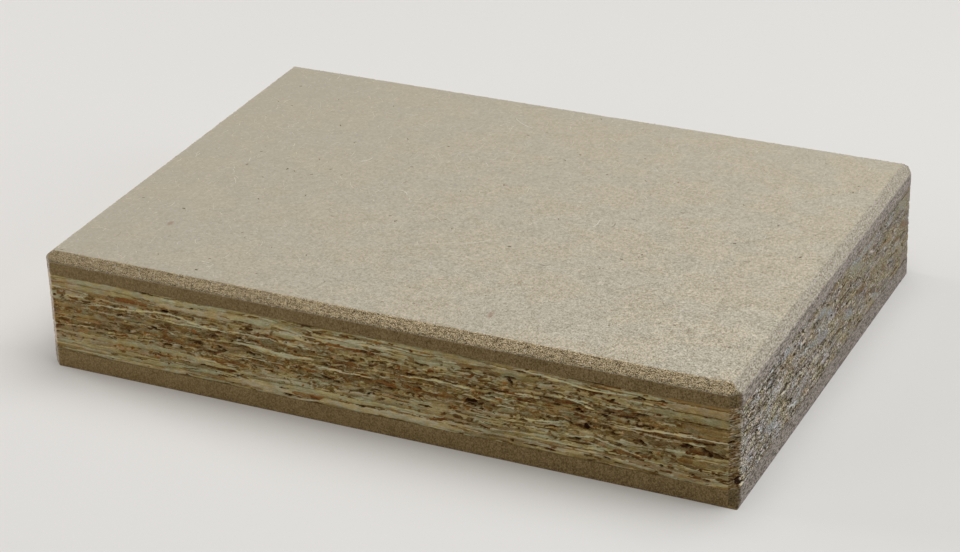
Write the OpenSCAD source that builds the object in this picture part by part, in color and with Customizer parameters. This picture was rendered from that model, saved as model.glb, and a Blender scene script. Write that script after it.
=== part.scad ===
// Three-layer composite wood board, cut to a sample size: a fibreboard layer pressed on each
// side of a core of long wood strands, with the top edge and the upright corners bevelled.
// The origin is the middle of the underside, with +X along the length and +Z up.

/* [Board] */
// Length of the board, along X
board_length = 210; // [100:1:600]
// Width of the board, along Y
board_width = 150; // [80:1:400]

/* [Layers] */
// Thickness of the fibreboard layer on top
top_thickness = 6.5; // [3:0.1:12]
// Thickness of the strand core
core_thickness = 24.1; // [6:0.1:60]
// Thickness of the fibreboard layer underneath
bottom_thickness = 5.4; // [3:0.1:12]

/* [Bevels] */
// How far the 45 degree bevel around the top goes in and down
top_bevel = 2.6; // [0.5:0.1:8]
// How far the 45 degree bevel on each upright corner goes along both sides
corner_bevel = 2.8; // [0.5:0.1:20]

/* [Hidden] */
core_bottom = bottom_thickness;
core_top = core_bottom + core_thickness;
board_thickness = core_top + top_thickness;

// Outline seen from above: a rectangle with its corners cut at 45 degrees
module plan() {
    x = board_length / 2;
    y = board_width / 2;
    polygon([
        [corner_bevel - x, -y], [x - corner_bevel, -y],
        [x, corner_bevel - y], [x, y - corner_bevel],
        [x - corner_bevel, y], [corner_bevel - x, y],
        [-x, y - corner_bevel], [-x, corner_bevel - y]
    ]);
}

// Upright section across the given span: a rectangle with its upper corners cut at 45 degrees
module section(span) {
    half = span / 2;
    shoulder = board_thickness - top_bevel;
    polygon([
        [-half, 0], [half, 0], [half, shoulder], [half - top_bevel, board_thickness],
        [top_bevel - half, board_thickness], [-half, shoulder]
    ]);
}

// The whole board as it was machined, before it is told apart into layers
module machined_board() {
    intersection() {
        linear_extrude(board_thickness) plan();
        rotate([90, 0, 0]) linear_extrude(board_width, center = true) section(board_length);
        rotate([90, 0, 90]) linear_extrude(board_length, center = true) section(board_width);
    }
}

// The slice of the board that one layer takes up
module layer(bottom, thickness) {
    intersection() {
        machined_board();
        translate([-board_length / 2, -board_width / 2, bottom])
            cube([board_length, board_width, thickness]);
    }
}

module top_fibreboard() {
    color([0.70, 0.66, 0.57]) layer(core_top, top_thickness);
}

module strand_core() {
    color([0.58, 0.52, 0.38]) layer(core_bottom, core_thickness);
}

module bottom_fibreboard() {
    color([0.45, 0.38, 0.27]) layer(0, bottom_thickness);
}

top_fibreboard();
strand_core();
bottom_fibreboard();
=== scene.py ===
import math
from collections import namedtuple

import bmesh
import bpy
from mathutils import Matrix, Vector, noise


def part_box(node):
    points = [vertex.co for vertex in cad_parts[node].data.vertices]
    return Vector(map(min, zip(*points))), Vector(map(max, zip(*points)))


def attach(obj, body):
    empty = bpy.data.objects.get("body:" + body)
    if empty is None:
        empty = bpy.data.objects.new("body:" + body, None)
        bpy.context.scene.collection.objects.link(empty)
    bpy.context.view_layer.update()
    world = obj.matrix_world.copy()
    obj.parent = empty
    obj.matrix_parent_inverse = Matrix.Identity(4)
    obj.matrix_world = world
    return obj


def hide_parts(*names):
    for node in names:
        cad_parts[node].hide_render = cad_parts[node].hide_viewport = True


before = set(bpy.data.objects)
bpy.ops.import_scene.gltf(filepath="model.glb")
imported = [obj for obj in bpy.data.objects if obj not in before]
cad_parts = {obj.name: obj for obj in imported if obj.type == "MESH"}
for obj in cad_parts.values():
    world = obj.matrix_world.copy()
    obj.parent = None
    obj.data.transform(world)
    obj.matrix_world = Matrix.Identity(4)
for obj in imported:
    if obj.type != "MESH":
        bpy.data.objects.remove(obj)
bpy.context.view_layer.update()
mm = 0.001

# Sizes of the board, read from the frame

coreLow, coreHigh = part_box("strand_core")
topLow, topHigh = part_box("top_fibreboard")
bottomLow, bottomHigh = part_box("bottom_fibreboard")
halfLength, halfWidth = coreHigh.x, coreHigh.y
boardTop = topHigh.z
coreHeight = coreHigh.z - coreLow.z


def frontCorners(node):  # the corners that lie in the front side's plane
    corners = [corner.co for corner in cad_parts[node].data.vertices]
    return [corner for corner in corners if abs(corner.y + halfWidth) < 0.01 * mm]


cornerBevel = halfLength - max(corner.x for corner in frontCorners("strand_core"))
topBevel = boardTop - max(corner.z for corner in frontCorners("top_fibreboard"))
shoulder = boardTop - topBevel  # where the upright sides end and the bevel starts

print(f"board {2 * halfLength / mm:.1f} by {2 * halfWidth / mm:.1f} by {boardTop / mm:.1f} mm,",
      f"bevels {topBevel / mm:.2f} and {cornerBevel / mm:.2f} mm")


# Camera

viewpoint = {
    "azimuth": 25.6,       # degrees round the board from straight in front
    "elevation": 26.8,     # degrees above the horizon
    "roll": -1.59,         # degrees
    "distance": 0.825,     # from the middle of the board
    "lens": 105.7,         # mm on a 36 mm wide sensor
    "aside": 0.0027,       # how far the middle of the board lies right of the picture's middle
    "below": -0.0044,      # and below it
}


def placeCamera(how):
    camera = bpy.data.objects.new("camera", bpy.data.cameras.new("camera"))
    bpy.context.scene.collection.objects.link(camera)
    bpy.context.scene.camera = camera
    camera.data.lens = how["lens"]
    camera.data.sensor_width = 36
    camera.data.clip_start, camera.data.clip_end = 0.01, 50
    azimuth, elevation = math.radians(how["azimuth"]), math.radians(how["elevation"])
    back = Vector((math.sin(azimuth) * math.cos(elevation), -math.cos(azimuth) * math.cos(elevation),
                   math.sin(elevation)))
    level = Vector((0, 0, 1)).cross(back).normalized()
    turn = Matrix.Rotation(math.radians(how["roll"]), 3, back)
    right, up = turn @ level, turn @ back.cross(level)
    middle = Vector((0, 0, boardTop / 2))
    camera.location = middle - how["aside"] * right + how["below"] * up + how["distance"] * back
    camera.rotation_euler = Matrix((right, up, back)).transposed().to_euler()


placeCamera(viewpoint)
print("camera placed")


# Wires and graphs: shader and geometry node trees are built with these two

def workedOut(operation, turned=False):  # a method that adds a Math node behind the wire
    return lambda wire, other=0: wire.math(operation, other, turned)


class Wire:  # an output socket that can be used in sums
    def __init__(self, graph, socket):
        self.graph, self.socket = graph, socket

    def math(self, operation, other=0, turned=False):
        first, second = (other, self) if turned else (self, other)
        return self.graph.add("ShaderNodeMath", {0: first, 1: second}, operation=operation)["Value"]

    __add__, __radd__ = workedOut("ADD"), workedOut("ADD", turned=True)
    __sub__, __rsub__ = workedOut("SUBTRACT"), workedOut("SUBTRACT", turned=True)
    __mul__, __rmul__ = workedOut("MULTIPLY"), workedOut("MULTIPLY", turned=True)
    __truediv__, __pow__, __abs__ = workedOut("DIVIDE"), workedOut("POWER"), workedOut("ABSOLUTE")
    atMost, atLeast = workedOut("MINIMUM"), workedOut("MAXIMUM")

    def rise(self, start, end):  # 0 up to start, 1 from end, smooth between
        return self.graph.add("ShaderNodeMapRange", {"Value": self, "From Min": start, "From Max": end},
                              interpolation_type="SMOOTHSTEP")["Result"]


class Graph:  # a node tree that is being built
    def __init__(self, tree):
        self.tree, self.given = tree, {}  # given: the inputs of a geometry graph

    def add(self, kind, values=None, **settings):  # values: socket to a wire, a list of wires or a constant
        node = self.tree.nodes.new(kind)
        for name, value in settings.items():
            if name == "stops":
                self.setStops(node.color_ramp, value)
            else:
                setattr(node, name, value)
        for name, value in (values or {}).items():
            socket = node.inputs[name] if isinstance(name, int) else self.socketNamed(node, name)
            for source in value if isinstance(value, list) else [value]:
                if isinstance(source, Wire):
                    self.tree.links.new(source.socket, socket)
                else:
                    socket.default_value = source
        return {socket.name: Wire(self, socket) for socket in node.outputs if socket.enabled}

    def socketNamed(self, node, name):
        return next(socket for socket in node.inputs if socket.name == name and socket.enabled)

    def setStops(self, ramp, stops):
        while len(ramp.elements) < len(stops):
            ramp.elements.new(0.5)
        for element, (place, colour) in zip(ramp.elements, stops):
            element.position, element.color = place, colour

    def vector(self, x=0, y=0, z=0):
        return self.add("ShaderNodeCombineXYZ", {"X": x, "Y": y, "Z": z})["Vector"]

    def split(self, vector):
        parts = self.add("ShaderNodeSeparateXYZ", {"Vector": vector})
        return parts["X"], parts["Y"], parts["Z"]

    def noise(self, spot, scale=1, detail=2, roughness=0.5, distortion=0):
        return self.add("ShaderNodeTexNoise", {
            "Vector": self.vector(*spot), "Scale": scale, "Detail": detail, "Roughness": roughness,
            "Distortion": distortion})["Fac"]

    def grain(self, spot, fineness, lift=0, **how):  # noise with its own fineness along each axis
        x, y, z = (part * fine for part, fine in zip(spot, fineness))
        return self.noise((x, y, z + lift), **how)

    def blend(self, share, first, second, how="MIX"):
        return self.add("ShaderNodeMix", {"Factor": share, "A": first, "B": second},
                        data_type="RGBA", blend_type=how)["Result"]

    def tint(self, share, colour, times):
        return self.blend(share, colour, times, "MULTIPLY")

    def dim(self, colour, *times):  # the colour times one number or three
        return self.tint(1.0, colour, self.vector(*(times * 3)[:3]))

    def ramp(self, place, stops):  # stops: places and colours as a screen shows them
        return self.add("ShaderNodeValToRGB", {"Fac": place},
                        stops=[(start, fromScreen(*colour)) for start, colour in stops])["Color"]

    def place(self):
        return self.split(self.add("GeometryNodeInputPosition")["Position"])

    def chance(self, number, low=0.0, high=1.0):  # each number draws its own from the graph's seed
        return self.add("FunctionNodeRandomValue",
                        {"Min": low, "Max": high, "Seed": self.given["Seed"] * 20 + number},
                        data_type="FLOAT")["Value"]

    def store(self, geometry, name, value, kind="FLOAT", domain="POINT"):
        return self.add("GeometryNodeStoreNamedAttribute",
                        {"Geometry": geometry, "Name": name, "Value": value},
                        data_type=kind, domain=domain)["Geometry"]

    def read(self, name, kind="FLOAT"):
        return self.add("GeometryNodeInputNamedAttribute", {"Name": name}, data_type=kind)["Attribute"]

    def grid(self, wide, deep, columns, rows):
        return self.add("GeometryNodeMeshGrid", {"Size X": wide, "Size Y": deep, "Vertices X": columns,
                                                 "Vertices Y": rows})["Mesh"]

    def shapeOf(self, thing):
        return self.add("GeometryNodeObjectInfo", {"Object": thing})["Geometry"]

    def scaled(self, vector, size):
        return self.add("ShaderNodeVectorMath", {0: vector, "Scale": size}, operation="SCALE")["Vector"]

    def turned(self, x, y, z):
        return self.add("FunctionNodeEulerToRotation", {"Euler": self.vector(x, y, z)})["Rotation"]

    def move(self, geometry, offset):
        return self.add("GeometryNodeSetPosition", {"Geometry": geometry, "Offset": offset})["Geometry"]

    def putAt(self, geometry, x, y, z):
        return self.add("GeometryNodeSetPosition",
                        {"Geometry": geometry, "Position": self.vector(x, y, z)})["Geometry"]

    def copies(self, points, shape, rotation, **more):
        return self.add("GeometryNodeInstanceOnPoints",
                        {"Points": points, "Instance": shape, "Rotation": rotation, **more})["Instances"]

    def join(self, *parts):
        return self.add("GeometryNodeJoinGeometry", {"Geometry": list(parts)})["Geometry"]

    def real(self, geometry):
        return self.add("GeometryNodeRealizeInstances", {"Geometry": geometry})["Geometry"]

    def finish(self, geometry):
        painted = self.add("GeometryNodeSetMaterial",
                           {"Geometry": self.real(geometry), "Material": self.given["Material"]})
        self.add("NodeGroupOutput", {"Geometry": painted["Geometry"]})


def between(low, high, share):
    return low + (high - low) * share


def geometryGraph(name, **inputs):  # inputs: type of socket to names
    tree = bpy.data.node_groups.new(name, "GeometryNodeTree")
    tree.interface.new_socket("Geometry", in_out="INPUT", socket_type="NodeSocketGeometry")
    for kind, labels in inputs.items():
        for label in labels:
            tree.interface.new_socket(label, in_out="INPUT", socket_type="NodeSocket" + kind)
    tree.interface.new_socket("Geometry", in_out="OUTPUT", socket_type="NodeSocketGeometry")
    graph = Graph(tree)
    graph.given = graph.add("NodeGroupInput")
    return graph, graph.given


def giveNodes(thing, graph, values):
    modifier = thing.modifiers.new(graph.tree.name, "NODES")
    modifier.node_group = graph.tree
    for item in graph.tree.interface.items_tree:
        if item.in_out == "INPUT" and item.name in values:
            value = values[item.name]
            modifier[item.identifier] = float(value) if item.socket_type == "NodeSocketFloat" else value


def settle(thing):  # turns the result of its modifiers into its plain mesh
    view = bpy.context.evaluated_depsgraph_get()
    mesh = bpy.data.meshes.new_from_object(thing.evaluated_get(view), preserve_all_data_layers=True,
                                           depsgraph=view)
    thing.modifiers.clear()
    thing.data = mesh
    return thing


def newPiece(name, corners, faces, **attributes):  # attributes: a number or three for each corner
    mesh = bpy.data.meshes.new(name)
    mesh.from_pydata(corners, [], faces)
    for label, values in attributes.items():
        if isinstance(values[0], tuple):
            layer = mesh.attributes.new(label, "FLOAT_VECTOR", "POINT")
            layer.data.foreach_set("vector", [part for value in values for part in value])
        else:
            layer = mesh.attributes.new(label, "FLOAT", "POINT")
            layer.data.foreach_set("value", values)
    work = bmesh.new()
    work.from_mesh(mesh)
    bmesh.ops.remove_doubles(work, verts=work.verts, dist=0.0005 * mm)
    bmesh.ops.dissolve_degenerate(work, edges=work.edges, dist=0.0005 * mm)
    work.to_mesh(mesh)
    work.free()
    mesh.shade_smooth()
    thing = bpy.data.objects.new(name, mesh)
    bpy.context.scene.collection.objects.link(thing)
    return thing


def finishPiece(thing, node):
    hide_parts(node)
    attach(thing, "root")
    triangles = sum(len(face.vertices) - 2 for face in thing.data.polygons)
    print(f"{thing.name}: {triangles} triangles")


# The board's outline, walked anticlockwise from the left end of the front side.
# A place on it is its distance in mm along the full outline, and it keeps that number on every ring.

OutlinePoint = namedtuple("OutlinePoint", "x y outward along endCut")
longSide = 2 * (halfLength - cornerBevel) / mm
shortSide = 2 * (halfWidth - cornerBevel) / mm
bevelSide = math.sqrt(2) * cornerBevel / mm
outlineLength = 2 * (longSide + shortSide) + 4 * bevelSide


def outlineStretches(inset, uncut=0):  # start, end, length, endCut there; uncut fills the front right corner
    x, y = halfLength - inset, halfWidth - inset
    cuts = []
    for left in (uncut, 0, 0, 0):  # the corners in walking order, from the front right one
        reach = halfLength + halfWidth - cornerBevel * (1 - left)
        cuts.append((min(x, reach - y), min(y, reach - x)))
    (x1, y1), (x2, y2), (x3, y3), (x4, y4) = cuts
    return [
        ((-x4, -y), (x1, -y), longSide, 0, 0),
        ((x1, -y), (x, -y1), bevelSide, 0, 1),
        ((x, -y1), (x, y2), shortSide, 1, 1),
        ((x, y2), (x2, y), bevelSide, 1, 0),
        ((x2, y), (-x3, y), longSide, 0, 0),
        ((-x3, y), (-x, y3), bevelSide, 0, 1),
        ((-x, y3), (-x, -y4), shortSide, 1, 1),
        ((-x, -y4), (-x4, -y), bevelSide, 1, 0),
    ]


def outlineAt(inset, spacing, uncut=0):  # one closed ring of points about that many mm apart
    points, done, angle = [], 0, -math.pi / 2  # the angle of the way out
    for number, (start, end, length, endStart, endEnd) in enumerate(outlineStretches(inset, uncut)):
        turn = math.pi / 2 if number % 2 else 0
        count = 4 * max(1, round(length / spacing / 4))
        for step in range(count):
            share = step / count
            facing = angle + turn * share
            points.append(OutlinePoint(
                between(start[0], end[0], share), between(start[1], end[1], share),
                (math.cos(facing), math.sin(facing), 0), done + length * share,
                between(endStart, endEnd, share)))
        done += length
        angle += turn
    return points


# Strands: long flakes of wood, laid out flat first, as distance along the outline by height in the core.
# Every flake carries "look", its tone, hue and depth, and "fibre", the place across it, a number
# and its edge.

def buildStrandGraph():
    graph, given = geometryGraph("layStrands", Int=["Columns", "Rows", "Bends", "Seed"], Float=[
        "Start", "Reach", "Low", "High", "Shortest", "Longest", "Thinnest", "Thickest", "Darkest", "Palest",
        "Deepest", "Rusty", "Tilt", "Sparse", "Patch", "Layer", "Wave Height", "Wave Length", "Wave Seed",
        "Core Height"])

    # one flake, 1 long and 1 thick, pointed at both ends
    flake = graph.grid(1.0, 1.0, given["Bends"], 3)
    x, y, z = graph.place()
    flake = graph.store(flake, "edge", y * 2)
    fullness = ((1 - abs(x) * 2) * 3).atMost(1).atLeast(0) ** 0.6
    flake = graph.putAt(flake, x, y * fullness, 0)

    # where the flakes go: rows and columns, each flake moved at random
    deep = given["High"] - given["Low"]
    spots = graph.grid(given["Reach"], deep, given["Columns"], given["Rows"])
    spots = graph.move(spots, graph.vector(
        given["Start"] + given["Reach"] / 2 + graph.chance(1, -0.8, 0.8) * given["Reach"] / given["Columns"],
        (given["Low"] + given["High"]) / 2 + graph.chance(2, -0.8, 0.8) * deep / given["Rows"],
        given["Layer"] + graph.chance(3, 0.0, 10.0)))
    x, y, z = graph.place()
    patches = graph.noise((x / given["Patch"], y / given["Patch"] * 2, given["Seed"]), detail=1)
    length = between(given["Shortest"], given["Longest"], graph.chance(4) ** 1.8)
    spots = graph.store(spots, "thickness", between(given["Thinnest"], given["Thickest"], graph.chance(5)))
    flakes = graph.copies(spots, flake, graph.turned(0, 0, given["Tilt"] * graph.chance(6, -1.0, 1.0)),
                          Selection=patches.math("GREATER_THAN", given["Sparse"]),
                          Scale=graph.vector(length, graph.read("thickness"), 1))
    tone = between(given["Darkest"], given["Palest"], graph.chance(7))
    rusty = (graph.chance(8) - 1 + given["Rusty"]).rise(0, given["Rusty"])
    grey = (graph.chance(9) - 0.93).rise(0, 0.07)
    look = graph.vector(tone, rusty - grey, given["Deepest"] * graph.chance(10))
    flakes = graph.store(flakes, "look", look, "FLOAT_VECTOR", "INSTANCE")
    flakes = graph.real(graph.store(flakes, "number", graph.chance(11), domain="INSTANCE"))
    edge = graph.read("edge")
    flakes = graph.store(flakes, "fibre", graph.vector(
        edge * graph.read("thickness") / 2, graph.read("number"), edge), "FLOAT_VECTOR")

    # the whole mat is pressed into waves, and none of it leaves its side of the core
    x, y, z = graph.place()
    wave = graph.noise((x / given["Wave Length"], y / given["Wave Length"] * 2, given["Wave Seed"]),
                       detail=3) - 0.5
    flakes = graph.putAt(
        flakes, x.atLeast(given["Start"]).atMost(given["Start"] + given["Reach"]),
        (y + wave * 2 * given["Wave Height"]).atLeast(0).atMost(given["Core Height"]), z)
    graph.add("NodeGroupOutput", {"Geometry": graph.join(given["Geometry"], flakes)})
    return graph


# One run of flakes: the heights it lies between, its columns and rows, how long and how thick its flakes
# are, in mm, and how dark and pale, from 0 to 1, and how far out they lie
def run(heights, spots, lengths, thicknesses, tones, layer, bends=17, tilt=0.02, rusty=0.15, deepest=0.1,
        sparse=0.0, patch=12.0):
    return {"Low": heights[0], "High": heights[1], "Columns": spots[0], "Rows": spots[1],
            "Shortest": lengths[0], "Longest": lengths[1], "Thinnest": thicknesses[0],
            "Thickest": thicknesses[1], "Darkest": tones[0], "Palest": tones[1], "Layer": layer,
            "Bends": bends, "Tilt": tilt, "Rusty": rusty, "Deepest": deepest, "Sparse": sparse,
            "Patch": patch}


coreRise = round(coreHeight / mm, 2)
longSideRuns = {
    "lower strands": run((0, 8), (11, 17), (10, 75), (0.4, 1.1), (0.42, 0.86), 10, bends=61, rusty=0.06,
                         deepest=0.12),
    "upper strands": run((17.5, coreRise), (11, 14), (10, 75), (0.45, 1.2), (0.40, 0.84), 10, bends=61,
                         rusty=0.06, deepest=0.12),
    "middle flakes": run((0, coreRise), (60, 44), (1.5, 14), (0.35, 1.1), (0.24, 0.64), 0, tilt=0.14,
                         rusty=0.2, deepest=0.25),
    "crumbs": run((5, 20), (130, 24), (0.6, 2.5), (0.35, 1.1), (0.16, 0.74), 20, bends=5, tilt=0.7,
                  rusty=0.25, deepest=0.3, sparse=0.46, patch=9),
    "thin pale strands": run((0.5, 23.8), (12, 20), (3, 32), (0.15, 0.4), (0.68, 0.98), 24, bends=33,
                             tilt=0.05, rusty=0.001, deepest=0),
    "brown slivers": run((0.5, 23), (34, 18), (1, 7), (0.2, 0.7), (0.12, 0.4), 30, tilt=0.15, rusty=0.45,
                         deepest=0.3, sparse=0.45, patch=14),
    # open gaps: sunk, and painted dark as shade
    "open gaps": run((2, 21.5), (44, 14), (0.4, 2.8), (0.15, 0.5), (-0.05, 0.2), 42, bends=7, tilt=0.4,
                     deepest=1.1, sparse=0.52, patch=10),
}
shortSideRuns = {
    "cut strands": run((0, coreRise), (40, 36), (2, 16), (0.4, 1.6), (0.36, 0.62), 0, tilt=0.06, rusty=0.12,
                       deepest=0.12),
    "cut bits": run((0.5, 23.6), (130, 52), (0.5, 2.4), (0.2, 0.5), (0.05, 0.98), 12, bends=5, tilt=0.3,
                    deepest=0.2, sparse=0.46, patch=7),
    # end gaps and cracks: sunk, and painted dark as shade
    "end gaps": run((1.5, 22.5), (26, 12), (0.5, 3.5), (0.2, 0.6), (-0.15, 0.15), 30, bends=7, tilt=0.2,
                    deepest=1.0, sparse=0.5, patch=8),
    "cracks": run((0.5, 23.6), (4, 9), (8, 35), (0.15, 0.35), (-0.1, 0.2), 42, bends=33, deepest=0.5),
}
pressing = {"Wave Height": 2.2, "Wave Length": 30.0}  # mm

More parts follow.
